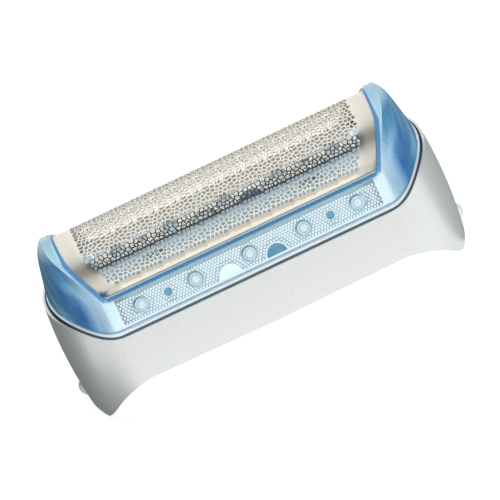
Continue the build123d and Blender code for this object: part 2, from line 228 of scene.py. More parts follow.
def circle_centre(a, b, c):
    """Centre of the circle through three places on the flat sheet."""
    d = 2 * (a[0] * (b[1] - c[1]) + b[0] * (c[1] - a[1]) + c[0] * (a[1] - b[1]))
    aa, bb, cc = (p[0] ** 2 + p[1] ** 2 for p in (a, b, c))
    u = (aa * (b[1] - c[1]) + bb * (c[1] - a[1]) + cc * (a[1] - b[1])) / d
    s = (aa * (c[0] - b[0]) + bb * (a[0] - c[0]) + cc * (b[0] - a[0])) / d
    return u, s


corners = [circle_centre(*(seeds[index] for index in triangle)) for triangle in triangles]
around = [[] for _ in seeds]
for number, triangle in enumerate(triangles):
    for index in triangle:
        around[index].append(number)
for index, (u, s) in enumerate(seeds):
    around[index].sort(key=lambda n: math.atan2(corners[n][1] - s, corners[n][0] - u))
print("corners of the net:", len(corners))

# %% [markdown]
# ## Clean edges
#
# Cells whose seed lies outside the sheet, in a hole or too close to an edge are dropped. A corner shared by
# a dropped and a kept cell is pulled on to the edge between them, which gives round holes and straight
# ends. Corners that land on the same place are welded into one, so that no face is left without area.

# %% Pull the corners to the edges
EDGE_MARGIN = 0.12
WELD_DECIMALS = 3


def edge_places(u, s):
    """For each edge: how far a place lies beyond it, and the nearest place on that edge."""
    found = [pull_to_edge(u, s, hole) for hole in holes]
    sign_u = math.copysign(1, u)
    sign_s = math.copysign(1, s)
    found.append((abs(u) - end_half(s), (sign_u * end_half(s), s)))
    found.append((abs(s) - sheet_half, (u, sign_s * sheet_half)))
    return found


kept = [max(beyond for beyond, _ in edge_places(*seed)) < -EDGE_MARGIN for seed in seeds]
at_edge = set()
for number, triangle in enumerate(triangles):
    inside = [kept[index] for index in triangle]
    beyond, place = max(edge_places(*corners[number]))
    if any(inside) and (beyond > 0 or not all(inside)):
        corners[number] = place
        at_edge.add(number)

welded = {}
for index, ring in enumerate(around):
    joined = []
    for number in ring:
        number = welded.setdefault(tuple(round(value, WELD_DECIMALS) for value in corners[number]), number)
        if number not in joined:
            joined.append(number)
    around[index] = joined
print("cells kept:", sum(kept), "corners on an edge:", len(at_edge))

# %% [markdown]
# ## Piercing the cells
#
# A pierced cell becomes a ring of small quads between its outline and a smaller outline inside it. On the
# arch the hole keeps a bar of even width along the cell and has blunt corners, as holes in grown metal
# have. On the flanks it is round, and smaller where an edge leaves less room. A texture with see-through
# spots would be lighter, but real holes let light through from every side and stay in the mesh.

# %% Pierce the cells
BAR_HALF = 0.08
BAR_CORNER = math.pi / 3
LEAST_OPENING = 0.3
BLUNT = 1.25
DOT_RADIUS = 0.186
DOT_MARGIN = 0.012
LEAST_DOT = 0.09


def middle(ring):
    """Mean of the corners of a cell."""
    return sum(p[0] for p in ring) / len(ring), sum(p[1] for p in ring) / len(ring)


def room(index):
    """Smallest distance from the middle of a cell to one of its sides."""
    ring = [corners[number] for number in around[index]]
    mid_u, mid_s = middle(ring)
    nearest = CELL_PITCH
    for a, b in zip(ring, ring[1:] + ring[:1]):
        along_u, along_s = b[0] - a[0], b[1] - a[1]
        across = along_u * (mid_s - a[1]) - along_s * (mid_u - a[0])
        nearest = min(nearest, across / (math.hypot(along_u, along_s) or TINY))
    return nearest


def dot_radius(index):
    """Radius of a round hole, smaller where an edge leaves less room."""
    return min(DOT_RADIUS, room(index) - DOT_MARGIN)


def hole_outline(index):
    """Corners of the hole inside one cell."""
    ring = [corners[number] for number in around[index]]
    mid_u, mid_s = middle(ring)
    reach = [math.hypot(p[0] - mid_u, p[1] - mid_s) for p in ring]
    if kinds[index] == "dot":
        inner = [dot_radius(index)] * len(ring)
    else:
        inner = [max(r - BAR_HALF / math.sin(BAR_CORNER), LEAST_OPENING * r) for r in reach]
        limit = BLUNT * sum(inner) / len(inner)
        inner = [min(r, limit) for r in inner]
    return [
        (mid_u + (p[0] - mid_u) * i / r, mid_s + (p[1] - mid_s) * i / r)
        for p, i, r in zip(ring, inner, reach)
    ]


def is_pierced(index):
    """Whether a kept cell has a hole: not in plain rows or ends, and beside an edge only where a dot fits."""
    u, s = seeds[index]
    if kinds[index] == "plain":
        return False
    if any(number in at_edge for number in around[index]):
        return kinds[index] == "dot" and dot_radius(index) > LEAST_DOT
    return kinds[index] == "dot" or abs(u) < opening_half(s) - PLAIN_END


flat = list(corners)
faces = []
for index, keep in enumerate(kept):
    if not keep:
        continue
    ring = around[index]
    if not is_pierced(index):
        faces.append(list(ring))
        continue
    first = len(flat)
    flat.extend(hole_outline(index))
    count = len(ring)
    for step in range(count):
        after = (step + 1) % count
        faces.append([ring[step], ring[after], first + after, first + step])
print("faces of the flat sheet:", len(faces))

# %% [markdown]
# ## Bending and thickening the sheet
#
# Every place is now bent twice, once for each face of the sheet, and each open edge gets a wall. A Solidify
# modifier could thicken the sheet as well, but here the two faces come from the same exact curve, and it is
# known which faces are the lining. The sheet stands in for the solid foil, which has larger gaps.

# %% Build the foil
FOIL_SHARP_ANGLE = math.radians(35)
used = sorted({number for face in faces for number in face})
renumber = {number: place for place, number in enumerate(used)}
outer = [bend(*flat[number], 0) * MM for number in used]
inner = [bend(*flat[number], FOIL_THICKNESS) * MM for number in used]
faces = [[renumber[number] for number in face] for face in faces]
total = len(used)
edges = {(a, b) for face in faces for a, b in zip(face, face[1:] + face[:1])}
walls = [[b, a, a + total, b + total] for a, b in edges if (b, a) not in edges]
linings = [[number + total for number in reversed(face)] for face in faces]

foil_mesh = bpy.data.meshes.new("foil_sheet")
foil_mesh.from_pydata(outer + inner, [], faces + linings + walls)
foil_mesh.validate()
foil_mesh.shade_smooth()
foil_mesh.set_sharp_from_angle(angle=FOIL_SHARP_ANGLE)
foil_sheet = bpy.data.objects.new("foil_sheet", foil_mesh)
scene.collection.objects.link(foil_sheet)
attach(foil_sheet, "root")
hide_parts("shaving_foil")
print("foil faces:", len(foil_mesh.polygons))

# %% [markdown]
# ## Nodes for a finish
#
# Every finish below starts from the same two steps: a new material with a Principled shader, and a texture
# that is laid over it in the object's own coordinates. A small helper keeps each finish short. Numbers that
# are the same all over go straight on the shader's sockets, and only what varies over the surface is wired
# in. Where a finish changes with the form, a mask says where: a value that goes from 0 to 1 between two
# limits.

# %% Helpers for materials
RIM_REACH = 11.4
RIM_STRAIGHT = 20.8
RIM_END = 7.5
RIM_Z = 12.5
RIM_RISE = 3.1
RIM_CLIMB = (20.6, 28.8)
MIX_COLOURS = (6, 7)
MIX_RESULT = 2
flank_face = FOIL_RADIUS * math.cos(flank_slope) + arch_z * math.sin(flank_slope)


class Finish:
    """A material under construction: its nodes, its links and its Principled shader."""

    def __init__(self, name):
        self.material = bpy.data.materials.new(name)
        self.material.use_nodes = True
        self.tree = self.material.node_tree
        self.shader = self.tree.nodes["Principled BSDF"]
        self.output = self.tree.nodes["Material Output"]
        self.place = self.add("ShaderNodeTexCoord").outputs["Object"]

    def add(self, kind, sockets=None, **settings):
        """A new node with the values of its sockets and its settings."""
        node = self.tree.nodes.new(kind)
        for socket, value in (sockets or {}).items():
            node.inputs[socket].default_value = value
        for setting, value in settings.items():
            setattr(node, setting, value)
        return node

    def link(self, source, target):
        """A wire from an output to an input."""
        self.tree.links.new(source, target)

    def set(self, values):
        """Constant values on the shader's own sockets."""
        for socket, value in values.items():
            self.shader.inputs[socket].default_value = value

    def wire(self, socket, source):
        """An output wired to one of the shader's sockets."""
        self.link(source, self.shader.inputs[socket])

    def noise(self, size_mm, detail=2.0):
        """Noise with grains of a given size."""
        node = self.add("ShaderNodeTexNoise", {"Scale": 1 / (size_mm * MM), "Detail": detail})
        self.link(self.place, node.inputs["Vector"])
        return node.outputs["Fac"]

    def ramp(self, source, *stops):
        """Colours along a value: each stop is a position and a colour."""
        node = self.add("ShaderNodeValToRGB")
        points = node.color_ramp.elements
        while len(points) < len(stops):
            points.new(0.5)
        for point, (position, colour) in zip(points, stops):
            point.position = position
            point.color = (*colour, 1)
        self.link(source, node.inputs["Fac"])
        return node.outputs["Color"]

    def spread(self, source, low, high, from_low=0.0, from_high=1.0, kind="LINEAR"):
        """A value moved from one range to another, evenly or along an S."""
        node = self.add("ShaderNodeMapRange", interpolation_type=kind)
        for number, value in zip((1, 2, 3, 4), (from_low, from_high, low, high)):
            node.inputs[number].default_value = value
        self.link(source, node.inputs["Value"])
        return node.outputs["Result"]

    def rise(self, source, low, high):
        """A mask that goes from 0 to 1 between two limits."""
        return self.spread(source, 0, 1, low, high)

    def fall(self, source, low, high):
        """A mask that goes from 1 to 0 between two limits."""
        return self.spread(source, 1, 0, low, high)

    def near(self, source, value, low, high):
        """A mask round one value, which falls between two distances from it."""
        return self.fall(self.sum("ABSOLUTE", self.sum("SUBTRACT", source, value)), low, high)

    def both(self, *masks):
        """Where all of some masks hold."""
        product = masks[0]
        for mask in masks[1:]:
            product = self.sum("MULTIPLY", product, mask)
        return product

    def bump(self, source, height_mm):
        """Fine relief of a given height."""
        node = self.add("ShaderNodeBump", {"Distance": height_mm * MM})
        self.link(source, node.inputs["Height"])
        self.wire("Normal", node.outputs["Normal"])

    def sum(self, operation, *values):
        """One step of arithmetic; each value is a number or an output."""
        node = self.add("ShaderNodeMath", operation=operation)
        for socket, value in zip(node.inputs, values):
            if isinstance(value, (int, float)):
                socket.default_value = value
            else:
                self.link(value, socket)
        return node.outputs["Value"]

    def mix(self, share, low, high):
        """From one colour to another; each colour is three numbers or an output."""
        node = self.add("ShaderNodeMix", data_type="RGBA")
        self.link(share, node.inputs["Factor"])
        for number, colour in zip(MIX_COLOURS, (low, high)):
            if isinstance(colour, tuple):
                node.inputs[number].default_value = (*colour, 1)
            else:
                self.link(colour, node.inputs[number])
        return node.outputs[MIX_RESULT]

    def millimetres(self):
        """The three coordinates in millimetres, as outputs."""
        split = self.add("ShaderNodeSeparateXYZ")
        self.link(self.place, split.inputs["Vector"])
        return [self.sum("DIVIDE", split.outputs[axis], MM) for axis in "XYZ"]

    def past_opening(self, away_x, z):
        """How far a place lies outside the slanting ends of the opening."""
        slant = self.spread(z, SILL_HALF, CROWN_HALF, arch_z, arch_z + CROWN_TURN_RISE)
        return self.sum("SUBTRACT", away_x, slant)

    def past_flank(self, away_y, z):
        """How far a place lies outside the foil's flank, square to it."""
        level = self.sum("MULTIPLY", away_y, math.cos(flank_slope))
        level = self.sum("ADD", level, self.sum("MULTIPLY", z, math.sin(flank_slope)))
        return self.sum("SUBTRACT", level, flank_face)

    def seat(self, away_x, away_y, z):
        """Where a place lies round the seat: 1 on the flange's outline, and its height above the rim."""
        past = self.sum("MAXIMUM", self.sum("SUBTRACT", away_x, RIM_STRAIGHT), 0)
        along = self.sum("DIVIDE", past, RIM_END)
        across = self.sum("DIVIDE", away_y, RIM_REACH)
        squares = [self.sum("MULTIPLY", value, value) for value in (along, across)]
        rim = self.spread(away_x, RIM_Z, RIM_Z + RIM_RISE, *RIM_CLIMB, kind="SMOOTHSTEP")
        return self.sum("SQRT", self.sum("ADD", *squares)), self.sum("SUBTRACT", z, rim)

    def wear(self, piece):
        """Puts the finish on a piece as its only material."""
        piece.data.materials.clear()
        piece.data.materials.append(self.material)


print("rim at", RIM_Z, "mm, at the ends", RIM_Z + RIM_RISE, "mm")

# %% [markdown]
# ## Silver shell
#
# The shell is moulded plastic under a satin silver paint: tiny flakes of aluminium in a clear binder. Up
# close it has a fine speckle, from a step away a soft metallic grey that follows the form. A half-metallic
# shader gives the gradient, and noise at two sizes gives the flakes and the slight unevenness of sprayed
# paint. In the narrow gap round the carrier a mask darkens the shelf with painted shade, which stands in
# for the shadow that the carrier throws in life.

# %% Finish of the shell
FLAKE_SIZE = 0.09
FLAKE_HEIGHT = 0.004
MIST_SIZE = 5.0
GAP_INSIDE = (0.962, 0.975)
GAP_OUTSIDE = (1.028, 1.036)
GAP_FLOOR = (-0.95, -0.85)
GAP_SHADE = (0.09, 0.115, 0.125)
silver = Finish("silver_paint")
flakes = silver.noise(FLAKE_SIZE, detail=1.0)
mist = silver.noise(MIST_SIZE)
silver.set({"Metallic": 0.6, "Coat Weight": 0.1, "Coat Roughness": 0.35})
paint = silver.ramp(flakes, (0.3, (0.66, 0.69, 0.69)), (0.7, (0.82, 0.84, 0.83)))
x, y, z = silver.millimetres()
outline, above_rim = silver.seat(silver.sum("ABSOLUTE", x), silver.sum("ABSOLUTE", y), z)
# Painted shade: the shelf in the gap round the carrier is darkened where the carrier's shadow would fall.
gap_shade = silver.both(
    silver.fall(outline, *GAP_OUTSIDE), silver.rise(above_rim, *GAP_FLOOR), silver.rise(outline, *GAP_INSIDE)
)
silver.wire("Base Color", silver.mix(gap_shade, paint, GAP_SHADE))
silver.wire("Roughness", silver.spread(mist, 0.38, 0.48))
silver.bump(flakes, FLAKE_HEIGHT)
silver.wear(nodes["outer_shell"])
print("silver paint on the shell")

# %% [markdown]
# ## Blue carrier
#
# The carrier is one clear blue moulding. Light loses its red and part of its green on the way through, so a
# thin window is almost clear and a thick cheek is deep blue. Volume absorption gives part of that. The rest
# is a tint that follows the form, and the masks for it come first: deep on the cheeks' sides, pale and satin
# on the crown, which is painted light for the light from above that scatters in the skin, and darker in the
# narrow step round the opening's ends.

# %% Regions of the cheeks
SATIN_X = (19.9, 20.5)
CHEEK_X = (21.0, 24.4)
UPWARD = (0.35, 0.6)
CROWN_Z = (19.0, 20.5)
STEP_WIDTH = (0.5, 0.62)
SILL_BLUR = 0.2
blue = Finish("blue_plastic")
x, y, z = blue.millimetres()
away_x = blue.sum("ABSOLUTE", x)
away_y = blue.sum("ABSOLUTE", y)
facing = blue.add("ShaderNodeSeparateXYZ")
blue.link(blue.add("ShaderNodeNewGeometry").outputs["Normal"], facing.inputs["Vector"])
satin = blue.rise(away_x, *SATIN_X)
cheek = blue.rise(away_x, *CHEEK_X)
# Painted light: the up-facing crown is pale, as light from above makes it.
crown_light = blue.both(blue.rise(facing.outputs["Z"], *UPWARD), blue.rise(z, *CROWN_Z))
above_sill = blue.rise(z, arch_z - SILL_BLUR, arch_z + SILL_BLUR)
band = blue.both(blue.fall(blue.past_opening(away_x, z), *STEP_WIDTH), above_sill)
print("cheeks from x", CHEEK_X[0], "mm, crown from z", CROWN_Z[0], "mm")

# %% [markdown]
# ## The sill
#
# Along the sill the window wall ends in a narrow level edge. From the foil outwards it has a dark slit of
# painted shade, a pale lip with a painted highlight, and a vivid blue rim, where the edge of the wall gathers
# the dye. All three are bands of one mask at the height of the sill.

# %% Regions of the sill
SILL_HEIGHT = (0.05, 0.3)
SILL_END = (20.5, 20.9)
SLIT_WIDTH = (0.14, 0.2)
LIP_WIDTH = (0.5, 0.6)
VIVID_FROM = (0.55, 0.8)
past_foil = blue.sum("SUBTRACT", away_y, FOIL_RADIUS)
at_sill = blue.both(blue.near(z, arch_z, *SILL_HEIGHT), blue.fall(away_x, *SILL_END))
# Painted shade: a dark slit between the foil and the sill.
slit_shade = blue.both(at_sill, blue.fall(past_foil, *SLIT_WIDTH))
# Painted highlight: a pale lip along the sill.
lip_highlight = blue.both(at_sill, blue.fall(past_foil, *LIP_WIDTH))
sill = blue.both(at_sill, blue.rise(past_foil, *VIVID_FROM))
print("sill at z", round(arch_z, 2), "mm")

# %% [markdown]
# ## The flange
#
# Where the window wall meets the flange there is a thin dark crease of painted shade, then a bright ledge
# with a painted highlight, and beside the shell a dark seam of painted shade. Lines as thin as these could be
# modelled, but at this size they are light and shade more than form. The pins' spread heads on the inner
# side are pale, because the melted plastic has turned milky.

# %% Regions of the flange and the pins
SEAM_OUTLINE = (0.972, 0.98)
SEAM_RISE = (0.18, 0.28)
WALL_FOOT = (0.948, 0.954)
LEDGE_RISE = (0.6, 0.8)
CREASE_RISE = 0.53
CREASE_WIDTH = (0.06, 0.13)
CREASE_OUTLINE = (0.90, 0.92)
RIVET_DEPTH = (-0.2, -0.1)
RIVET_X = (19.0, 19.4)
RIVET_Z = (12.6, 12.8)
outline, above_rim = blue.seat(away_x, away_y, z)
# Painted shade: the dark seam beside the shell.
seam_shade = blue.both(blue.rise(outline, *SEAM_OUTLINE), blue.fall(above_rim, *SEAM_RISE))
# Painted highlight: the bright ledge at the foot of the wall.
ledge_highlight = blue.both(blue.rise(outline, *WALL_FOOT), blue.fall(above_rim, *LEDGE_RISE))
# Painted shade: the thin dark crease where the wall meets the flange.
crease_shade = blue.both(
    blue.near(above_rim, CREASE_RISE, *CREASE_WIDTH),
    blue.rise(outline, *CREASE_OUTLINE),
    blue.fall(outline, *WALL_FOOT),
)
rivet = blue.both(
    blue.fall(blue.past_flank(away_y, z), *RIVET_DEPTH), blue.fall(away_x, *RIVET_X), blue.rise(z, *RIVET_Z)
)
print("crease_shade", CREASE_RISE, "mm above the rim")

# %% [markdown]
# ## Streaks in the cheeks
#
# The cheeks show soft slanting streaks, where the round form bends the light: they are painted light. A
# noise gives them when it is stretched along one direction: the coordinates are turned to the slant with
# plain arithmetic, and the one along the streaks is squeezed.

# %% Streaks and grain
STREAK_ALONG = 0.5
STREAK_FORWARD = 0.75
STREAK_UP = 0.66
STREAK_SQUEEZE = 0.2
STREAK_SCALE = 0.42
GRAIN_SIZE = 0.13
forward = blue.sum("MULTIPLY", y, -1)
across = blue.sum(
    "ADD", blue.sum("MULTIPLY", forward, STREAK_FORWARD), blue.sum("MULTIPLY", z, STREAK_UP)
)
lengthwise = blue.sum(
    "SUBTRACT", blue.sum("MULTIPLY", forward, STREAK_UP), blue.sum("MULTIPLY", z, STREAK_FORWARD)
)
streak = blue.add("ShaderNodeCombineXYZ")
blue.link(blue.sum("MULTIPLY", away_x, STREAK_ALONG), streak.inputs["X"])
blue.link(across, streak.inputs["Y"])
blue.link(blue.sum("MULTIPLY", lengthwise, STREAK_SQUEEZE), streak.inputs["Z"])
# Painted light: the streaks stand in for light bent inside the round cheeks.
refraction_streaks = blue.add("ShaderNodeTexNoise", {"Scale": STREAK_SCALE, "Detail": 1.5})
blue.link(streak.outputs["Vector"], refraction_streaks.inputs["Vector"])
grain = blue.noise(GRAIN_SIZE, detail=3.0)
print("streaks squeezed to", STREAK_SQUEEZE)

# %% [markdown]
# ## Tints, from the windows to the seam
#
# The tints are laid over each other region by region. A region with a colour of its own also lets less
# light through, so each layer has a share of solid colour, and the largest share counts. The carrier throws
# no shadow: in life it would only tint the light that falls on the foil, and a renderer makes a dark shadow
# of it.

# %% Finish of the carrier
GRAIN_HEIGHT = 0.003
PLASTIC_IOR = 1.46
DYE = {"Color": (0.1, 0.6, 0.82, 1), "Density": 150.0}
deep = blue.ramp(
    refraction_streaks.outputs["Fac"],
    (0.36, (0.045, 0.19, 0.44)),
    (0.52, (0.12, 0.37, 0.60)),
    (0.66, (0.30, 0.65, 0.80)),
)
clear = blue.ramp(grain, (0.35, (0.80, 0.91, 0.98)), (0.65, (0.87, 0.95, 1.0)))
# Among these tints the crown, lip and ledge are painted light, and the slit, crease and seam are painted
# shade.
layers = (
    (satin, (0.70, 0.87, 0.95), 0.65),
    (cheek, deep, 0),
    (crown_light, (0.52, 0.81, 0.95), 0.7),
    (band, (0.10, 0.30, 0.54), 0.5),
    (sill, (0.07, 0.27, 0.52), 0.8),
    (lip_highlight, (0.76, 0.90, 0.97), 0.8),
    (slit_shade, (0.08, 0.11, 0.12), 0.95),
    (ledge_highlight, (0.90, 0.97, 1.0), 0.8),
    (crease_shade, (0.24, 0.38, 0.50), 0.7),
    (seam_shade, (0.12, 0.17, 0.20), 0.9),
    (rivet, (0.84, 0.93, 0.97), 0.85),
)
tint = clear
solid_share = 0
for region, colour, share in layers:
    tint = blue.mix(region, tint, colour)
    solid_share = blue.sum("MAXIMUM", solid_share, blue.sum("MULTIPLY", region, share))
blue.wire("Base Color", tint)
blue.wire("Transmission Weight", blue.sum("SUBTRACT", 1, solid_share))
frost = blue.sum("ADD", blue.spread(satin, 0.04, 0.26), blue.spread(grain, -0.03, 0.08))
blue.wire("Roughness", frost)
blue.bump(grain, GRAIN_HEIGHT)
blue.set({"IOR": PLASTIC_IOR})
absorption = blue.add("ShaderNodeVolumeAbsorption", DYE)
blue.link(absorption.outputs["Volume"], blue.output.inputs["Volume"])
blue.wear(nodes["foil_carrier"])
nodes["foil_carrier"].visible_shadow = False
print("blue plastic on the carrier, in", len(layers), "layers")

# %% [markdown]
# ## Small round pieces
#
# In each window the ends of five pins shine as pale domes, each with a ring round it and a small dimple.
# Two short locators and one half-round key show as blue discs in the foil's holes. They belong to the
# moulding, but this detail is too fine for its solid. A Screw modifier could turn them; here they are
# turned ring by ring, because the same function that bends the sheet then sets them on the slope of the
# window wall.

# %% Helpers to turn a piece
AROUND = 32
PIECE_SHARP_ANGLE = math.radians(40)


def turned(verts, faces, u, s, profile, half=False):
    """Adds a whole or half body turned about the wall's normal, from a profile of radius and depth."""
    start = len(verts)
    steps = AROUND // 2 + 1 if half else AROUND
    side = 1 if s >= 0 else -1
    for radius, depth in profile:
        for step in range(steps):
            angle = 2 * math.pi * step / AROUND
            place = bend(u + radius * math.cos(angle), s - side * radius * math.sin(angle), depth)
            verts.append(place * MM)
    rows = len(profile)
    for row in range(rows - 1):
        for step in range(steps):
            after = (step + 1) % steps
            a, b = start + row * steps + step, start + row * steps + after
            faces.append([a, b, b + steps, a + steps])
    for row in (0, rows - 1):
        faces.append([start + row * steps + step for step in range(steps)])


def small_piece(name, verts, faces):
    """Mesh object that rides on the head."""
    mesh = bpy.data.meshes.new(name)
    mesh.from_pydata(verts, [], faces)
    mesh.validate()
    work = bmesh.new()
    work.from_mesh(mesh)
    bmesh.ops.recalc_face_normals(work, faces=work.faces)
    work.to_mesh(mesh)
    work.free()
    mesh.shade_smooth()
    mesh.set_sharp_from_angle(angle=PIECE_SHARP_ANGLE)
    piece = bpy.data.objects.new(name, mesh)
    scene.collection.objects.link(piece)
    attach(piece, "root")
    return piece


print("steps round a piece:", AROUND)

# %% [markdown]
# ## Shapes of the pin ends and the discs
#
# A pin end is a low ring, a groove and a dome with a dimple, all in one profile from the outside in. The
# discs are flat and thin. Each window has the same set, and the key takes one of the foil's two notches.

# %% Turn the pin ends and the discs
PANEL_FACE = 0.825
RING_RADIUS = 0.98
RING_HEIGHT = 0.2
RING_STEPS = 7
GROOVE_RADIUS = 0.66
GROOVE_HEIGHT = 0.1
DOME_HEIGHT = 0.38
DOME_STEPS = 6
DIMPLE_RADIUS = 0.2
DIMPLE_FLOOR_RADIUS = 0.08
DIMPLE_DEPTH = 0.1
LOCATOR_RADIUS = 0.62
KEY_RADIUS = 1.5
DISC_DEPTHS = (-0.006, -0.036)

dome_profile = [(RING_RADIUS, -PANEL_FACE)]
for step in range(1, RING_STEPS):
    angle = math.pi * step / RING_STEPS
    radius = (RING_RADIUS + GROOVE_RADIUS) / 2 + (RING_RADIUS - GROOVE_RADIUS) / 2 * math.cos(angle)
    low = GROOVE_HEIGHT * step / RING_STEPS
    dome_profile.append((radius, -PANEL_FACE - low - (RING_HEIGHT - GROOVE_HEIGHT / 2) * math.sin(angle)))
for step in range(DOME_STEPS + 1):
    radius = GROOVE_RADIUS + (DIMPLE_RADIUS - GROOVE_RADIUS) * step / DOME_STEPS
    rise = (DOME_HEIGHT - GROOVE_HEIGHT) * math.sqrt(1 - (radius / GROOVE_RADIUS) ** 2)
    dome_profile.append((radius, -PANEL_FACE - GROOVE_HEIGHT - rise))
dome_profile.append((DIMPLE_FLOOR_RADIUS, -PANEL_FACE - DOME_HEIGHT + DIMPLE_DEPTH))
locator_profile = [(LOCATOR_RADIUS, depth) for depth in DISC_DEPTHS]
key_profile = [(KEY_RADIUS, depth) for depth in DISC_DEPTHS]

dome_verts, dome_faces, disc_verts, disc_faces = [], [], [], []
for side in (-1, 1):
    pin_s = side * (arch_half + PIN_DROP)
    for place in pin_places:
        turned(dome_verts, dome_faces, place, pin_s, dome_profile)
    for place in locator_places:
        turned(disc_verts, disc_faces, place, pin_s, locator_profile)
    turned(disc_verts, disc_faces, -side * NOTCH_X, side * sheet_half, key_profile, half=True)
pin_heads = small_piece("pin_heads", dome_verts, dome_faces)
peg_faces = small_piece("peg_faces", disc_verts, disc_faces)
print("pin heads:", len(dome_faces), "faces; pegs:", len(disc_faces), "faces")

# %% [markdown]
# ## Pale pins and blue pegs
#
# The melted pin ends are milky. A ramp over the height above the wall paints light and shade on them:
# palest on top of the dome, darker and bluer down in the groove, where shade falls. The discs are thick
# plastic seen end on, so they are an even, clouded blue.

# %% Finish of the pins and the pegs
PEG_CLOUD_SIZE = 0.8
pale = Finish("pale_pin")
x, y, z = pale.millimetres()
outwards = pale.past_flank(pale.sum("ABSOLUTE", y), z)
# Painted light and shade: palest on the dome's top, darker down in the groove round it.
dome_shade = pale.rise(outwards, PANEL_FACE, PANEL_FACE + DOME_HEIGHT)
pale.set({"Transmission Weight": 0.25, "Roughness": 0.12, "IOR": PLASTIC_IOR})
pale.wire(
    "Base Color",
    pale.ramp(dome_shade, (0.0, (0.30, 0.58, 0.72)), (0.4, (0.62, 0.86, 0.95)), (0.9, (0.86, 0.97, 1.0))),
)
pale.wear(pin_heads)

peg = Finish("peg_blue")
peg.set({"Roughness": 0.2, "IOR": PLASTIC_IOR})
peg.wire(
    "Base Color", peg.ramp(peg.noise(PEG_CLOUD_SIZE), (0.3, (0.10, 0.27, 0.37)), (0.7, (0.16, 0.36, 0.47)))
)
peg.wear(peg_faces)
print("pale pins and blue pegs")

# %% [markdown]
# ## Nickel foil
#
# Electroformed nickel is bright with a warm tone, and keeps faint lines of the plate that it grew on. They
# could be a relief, but at this size a slight change of colour in fine waves along the head is enough. A
# broad noise varies the polish, and the plain ends are a little duller than the net. The lining of the
# arch faces the cutter and is dull, so it has a finish of its own.

# %% Finish of the foil
LINE_PITCH = 0.24
WAVE_RADIANS = 20
POLISH_SIZE = 2.0
END_HAZE = 0.28
END_HAZE_FROM = -PLAIN_END - 0.8
END_HAZE_TO = -PLAIN_END + 1.0
nickel = Finish("nickel_sheet")
wave_scale = 2 * math.pi / (WAVE_RADIANS * LINE_PITCH * MM)
lines = nickel.add("ShaderNodeTexWave", {"Scale": wave_scale, "Distortion": 0.4})
nickel.link(nickel.place, lines.inputs["Vector"])
nickel.set({"Metallic": 1.0})
nickel.wire(
    "Base Color", nickel.ramp(lines.outputs["Fac"], (0.2, (0.80, 0.77, 0.68)), (0.8, (0.91, 0.88, 0.79)))
)
x, y, z = nickel.millimetres()
beyond = nickel.past_opening(nickel.sum("ABSOLUTE", x), z)
haze = nickel.spread(beyond, 0, END_HAZE, END_HAZE_FROM, END_HAZE_TO)
polish = nickel.spread(nickel.noise(POLISH_SIZE), 0.13, 0.19)
nickel.wire("Roughness", nickel.sum("ADD", polish, haze))
nickel.wear(foil_sheet)
print("nickel on the foil")

# %% [markdown]
# ## Lining of the foil
#
# The dull finish reaches from the crown to a little below the bends. Further down the lining keeps the
# bright finish, so that what shows of it through the net stays crisp. A second object could carry it, but a
# mesh can hold two materials, and each of its faces has the number of its own.

# %% Finish of the lining
DULL_DROP = 1.7
DULL_CLOUD_SIZE = 0.3
lining = Finish("dull_nickel")
lining.set({"Metallic": 1.0, "Roughness": 0.5})
lining.wire(
    "Base Color",
    lining.ramp(lining.noise(DULL_CLOUD_SIZE), (0.3, (0.34, 0.33, 0.30)), (0.7, (0.46, 0.44, 0.40))),
)
foil_mesh.materials.append(lining.material)
dull_faces = 0
for polygon in foil_mesh.polygons[len(faces):len(faces) + len(linings)]:
    if polygon.center.z > (arch_z - DULL_DROP) * MM:
        polygon.material_index = 1
        dull_faces += 1
print("dull faces of the lining:", dull_faces)

# %% [markdown]
# ## End studs
#
# The studs are natural, unpainted plastic: pale, a little waxy, with light passing some way in. A plain
# white shader would look like chalk, so a small share of light scatters below the surface.

# %% Finish of the studs
STUD_CLOUD_SIZE = 0.5
natural = Finish("natural_plastic")
natural.set({"Roughness": 0.35, "Subsurface Weight": 0.15, "Subsurface Scale": 0.3 * MM})
natural.wire(
    "Base Color",
    natural.ramp(natural.noise(STUD_CLOUD_SIZE), (0.3, (0.78, 0.80, 0.79)), (0.7, (0.86, 0.88, 0.87))),
)
for stud in ("left_stud", "right_stud"):
    natural.wear(nodes[stud])
print("natural plastic on the studs")

# %% [markdown]
# ## Floor
#
# A white table, lit a little from inside as a light table is, so that the open head gets light from below.
# What the eye, the metal and the plastic see of it is white, and the rest of its light is softer. Its own
# diffuse part keeps the shadow. It ends before the feet of the side cards, so that no level view shows
# their shade on it.

# %% Lay the floor
FLOOR_HALF = 0.42
FLOOR_WHITE = (0.4, 0.4, 0.4, 1)
FLOOR_GLOW_SEEN = 0.8
FLOOR_GLOW_REST = 0.4


def seen_directly(tree):
    """A value of 1 for light that goes straight, by a mirror or through plastic to the eye."""
    path = tree.nodes.new("ShaderNodeLightPath")
    total = path.outputs["Is Camera Ray"]
    for name in ("Is Glossy Ray", "Is Transmission Ray"):
        joined = tree.nodes.new("ShaderNodeMath")
        joined.operation = "MAXIMUM"
        tree.links.new(total, joined.inputs[0])
        tree.links.new(path.outputs[name], joined.inputs[1])
        total = joined.outputs["Value"]
    return total


def between(tree, share, low, high):
    """A value that goes from low to high with a share."""
    node = tree.nodes.new("ShaderNodeMapRange")
    node.inputs["To Min"].default_value = low
    node.inputs["To Max"].default_value = high
    tree.links.new(share, node.inputs["Value"])
    return node.outputs["Result"]


floor_mesh = bpy.data.meshes.new("floor")
floor_corners = [(x * FLOOR_HALF, y * FLOOR_HALF, 0) for x, y in ((-1, -1), (1, -1), (1, 1), (-1, 1))]
floor_mesh.from_pydata(floor_corners, [], [[0, 1, 2, 3]])
floor = bpy.data.objects.new("floor", floor_mesh)
scene.collection.objects.link(floor)

